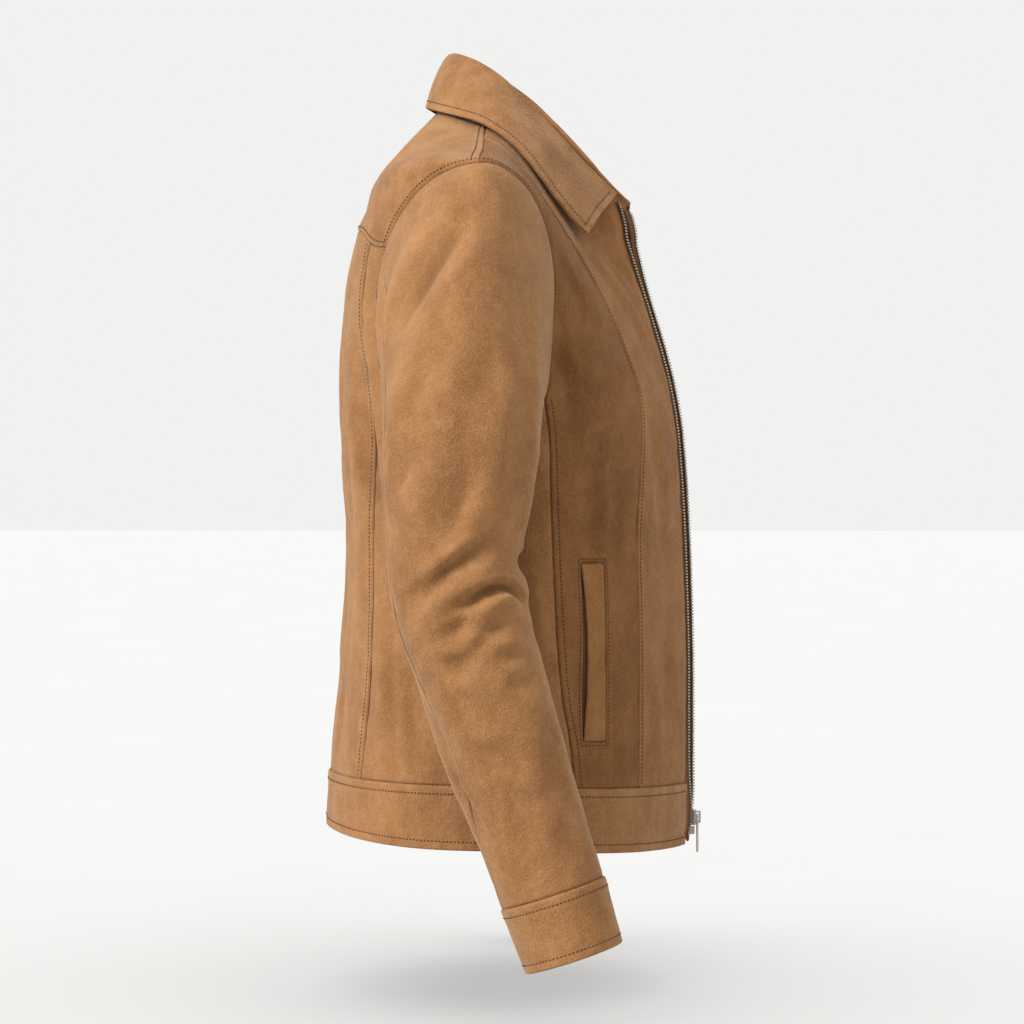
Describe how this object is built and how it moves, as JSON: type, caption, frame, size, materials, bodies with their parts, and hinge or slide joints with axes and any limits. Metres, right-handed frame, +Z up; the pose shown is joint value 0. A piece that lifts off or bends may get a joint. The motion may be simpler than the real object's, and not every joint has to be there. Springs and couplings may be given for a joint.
{
  "type": "suede jacket",
  "caption": "Hip-length suede zip jacket, hollow as if worn: panelled body, yoke, set-in sleeves, folded collar, cuffs, waistband and open front zip.",
  "frame": {"origin": "middle of the neck between the high points of the shoulders, where the jacket is held", "axes": "+Z is up, -Y is the front of the jacket, -X is the wearer's right"},
  "size_m": [0.5899, 0.2961, 0.7002],
  "materials": {
    "suede": "tan suede, soft nap",
    "suede_dark": "tan suede seen in shade, soft nap",
    "lining_cloth": "dark brown woven pocket cloth",
    "zip_tape": "dark brown woven tape with a metal chain",
    "zip_metal": "dull nickel"
  },
  "bodies": {
    "jacket": {"front_centre_right": "suede", "front_centre_left": "suede", "front_side_right": "suede", "front_side_left": "suede", "side_panel_right": "suede", "side_panel_left": "suede", "back_centre": "suede", "yoke_back": "suede", "waistband": "suede", "sleeve_top_right": "suede", "sleeve_top_left": "suede", "sleeve_under_right": "suede", "sleeve_under_left": "suede", "cuff_right": "suede", "cuff_left": "suede", "collar": "suede", "under_collar": "suede_dark", "pocket_welt_right": "suede_dark", "pocket_welt_left": "suede_dark", "pocket_bag_right": "lining_cloth", "pocket_bag_left": "lining_cloth", "zip_tape_right": "zip_tape", "zip_tape_left": "zip_tape", "zip_slider": "zip_metal", "zip_box": "zip_metal", "zip_pin": "zip_metal"},
    "pull": {"zip_pull": "zip_metal"}
  },
  "joints": [
    {"name": "pull_swing", "type": "hinge", "parent": "jacket", "child": "pull", "pos_m": [0, -0.157, -0.5453], "axis": [-1, 0, 0], "range_deg": [0, 160]}
  ]
}
